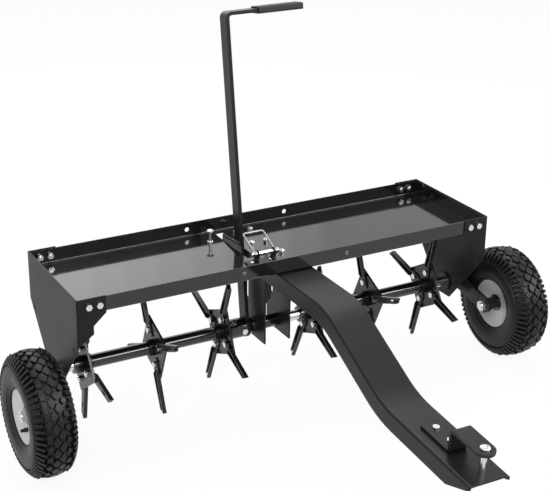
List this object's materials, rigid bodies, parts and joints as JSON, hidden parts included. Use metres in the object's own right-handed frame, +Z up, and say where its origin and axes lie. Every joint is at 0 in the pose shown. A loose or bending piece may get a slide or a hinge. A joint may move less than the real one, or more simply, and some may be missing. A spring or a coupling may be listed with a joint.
{
  "type": "tow behind aerator",
  "caption": "Tow-behind lawn plug aerator: weight tray over free-turning stars of coring spoons, lever-lifted pneumatic wheels, curved channel tongue with a pinned hitch.",
  "frame": {"origin": "on the ground, below the middle of the whole machine", "axes": "+X to the right as seen from behind the tongue's tip looking at the tray, across the machine; -Y forward along the tongue; +Z up"},
  "size_m": [1.3026, 1.0132, 0.8845],
  "materials": {
    "black_coat": "glossy black powder coat",
    "zinc_plate": "bright zinc plate",
    "rim_paint": "silver-grey paint",
    "tyre": "black moulded rubber",
    "black_rubber": "black soft grip rubber",
    "black_plastic": "black moulded plastic",
    "bearing_steel": "ground bearing steel"
  },
  "bodies": {
    "frame": {"tray": "black_coat", "left_side_panel": "black_coat", "right_side_panel": "black_coat", "panel_bolts": "zinc_plate", "panel_nuts": "zinc_plate", "shaft_bushings": "black_plastic", "tongue": "black_coat", "floor_bolts": "zinc_plate", "floor_nuts": "zinc_plate", "left_hanger": "black_coat", "right_hanger": "black_coat", "hitch_bracket": "black_coat", "hitch_bolts": "zinc_plate", "latch_bracket": "black_coat", "latch_pivot": "zinc_plate", "latch_bolts": "zinc_plate", "parking_pin": "zinc_plate"},
    "lift_axle": {"shaft": "zinc_plate", "spacer_tubes": "black_coat", "set_collars": "black_coat", "lever": "black_coat", "lever_grip": "black_rubber", "lever_collar": "black_coat", "stop_rod": "zinc_plate", "left_wheel_arm": "black_coat", "right_wheel_arm": "black_coat", "shaft_bolts": "zinc_plate", "spindles": "zinc_plate", "spindle_nuts": "zinc_plate"},
    "star_1": {"star_1_plate": "black_coat", "star_1_spoons": "black_coat", "star_1_bolts": "zinc_plate"},
    "star_2": {"star_2_plate": "black_coat", "star_2_spoons": "black_coat", "star_2_bolts": "zinc_plate"},
    "star_3": {"star_3_plate": "black_coat", "star_3_spoons": "black_coat", "star_3_bolts": "zinc_plate"},
    "star_4": {"star_4_plate": "black_coat", "star_4_spoons": "black_coat", "star_4_bolts": "zinc_plate"},
    "star_5": {"star_5_plate": "black_coat", "star_5_spoons": "black_coat", "star_5_bolts": "zinc_plate"},
    "star_6": {"star_6_plate": "black_coat", "star_6_spoons": "black_coat", "star_6_bolts": "zinc_plate"},
    "left_wheel": {"left_tyre": "tyre", "left_rim": "rim_paint", "left_hub": "black_coat", "left_bearings": "bearing_steel", "left_valve": "black_rubber"},
    "right_wheel": {"right_tyre": "tyre", "right_rim": "rim_paint", "right_hub": "black_coat", "right_bearings": "bearing_steel", "right_valve": "black_rubber"},
    "bail": {"latch_bail": "zinc_plate"},
    "hitch_pin": {"hitch_pin": "zinc_plate"}
  },
  "joints": [
    {"name": "lift", "type": "hinge", "parent": "frame", "child": "lift_axle", "pos_m": [0, 0.35263, 0.15893], "axis": [1, 0, 0], "range_deg": [-20, 6]},
    {"name": "star_1_spin", "type": "hinge", "parent": "lift_axle", "child": "star_1", "pos_m": [-0.453, 0.35263, 0.15893], "axis": [1, 0, 0], "continuous": true},
    {"name": "star_2_spin", "type": "hinge", "parent": "lift_axle", "child": "star_2", "pos_m": [-0.285, 0.35263, 0.15893], "axis": [1, 0, 0], "continuous": true},
    {"name": "star_3_spin", "type": "hinge", "parent": "lift_axle", "child": "star_3", "pos_m": [-0.117, 0.35263, 0.15893], "axis": [1, 0, 0], "continuous": true},
    {"name": "star_4_spin", "type": "hinge", "parent": "lift_axle", "child": "star_4", "pos_m": [0.117, 0.35263, 0.15893], "axis": [1, 0, 0], "continuous": true},
    {"name": "star_5_spin", "type": "hinge", "parent": "lift_axle", "child": "star_5", "pos_m": [0.285, 0.35263, 0.15893], "axis": [1, 0, 0], "continuous": true},
    {"name": "star_6_spin", "type": "hinge", "parent": "lift_axle", "child": "star_6", "pos_m": [0.453, 0.35263, 0.15893], "axis": [1, 0, 0], "continuous": true},
    {"name": "left_wheel_spin", "type": "hinge", "parent": "lift_axle", "child": "left_wheel", "pos_m": [-0.6043, 0.22772, 0.136], "axis": [1, 0, 0], "continuous": true},
    {"name": "right_wheel_spin", "type": "hinge", "parent": "lift_axle", "child": "right_wheel", "pos_m": [0.6043, 0.22772, 0.136], "axis": [1, 0, 0], "continuous": true},
    {"name": "bail_swing", "type": "hinge", "parent": "frame", "child": "bail", "pos_m": [-0.041, 0.27664, 0.37193], "axis": [1, 0, 0], "range_deg": [0, 140]},
    {"name": "hitch_pin_lift", "type": "slide", "parent": "frame", "child": "hitch_pin", "axis": [0, -0.0872, 0.9962], "range_m": [0, 0.08]}
  ]
}
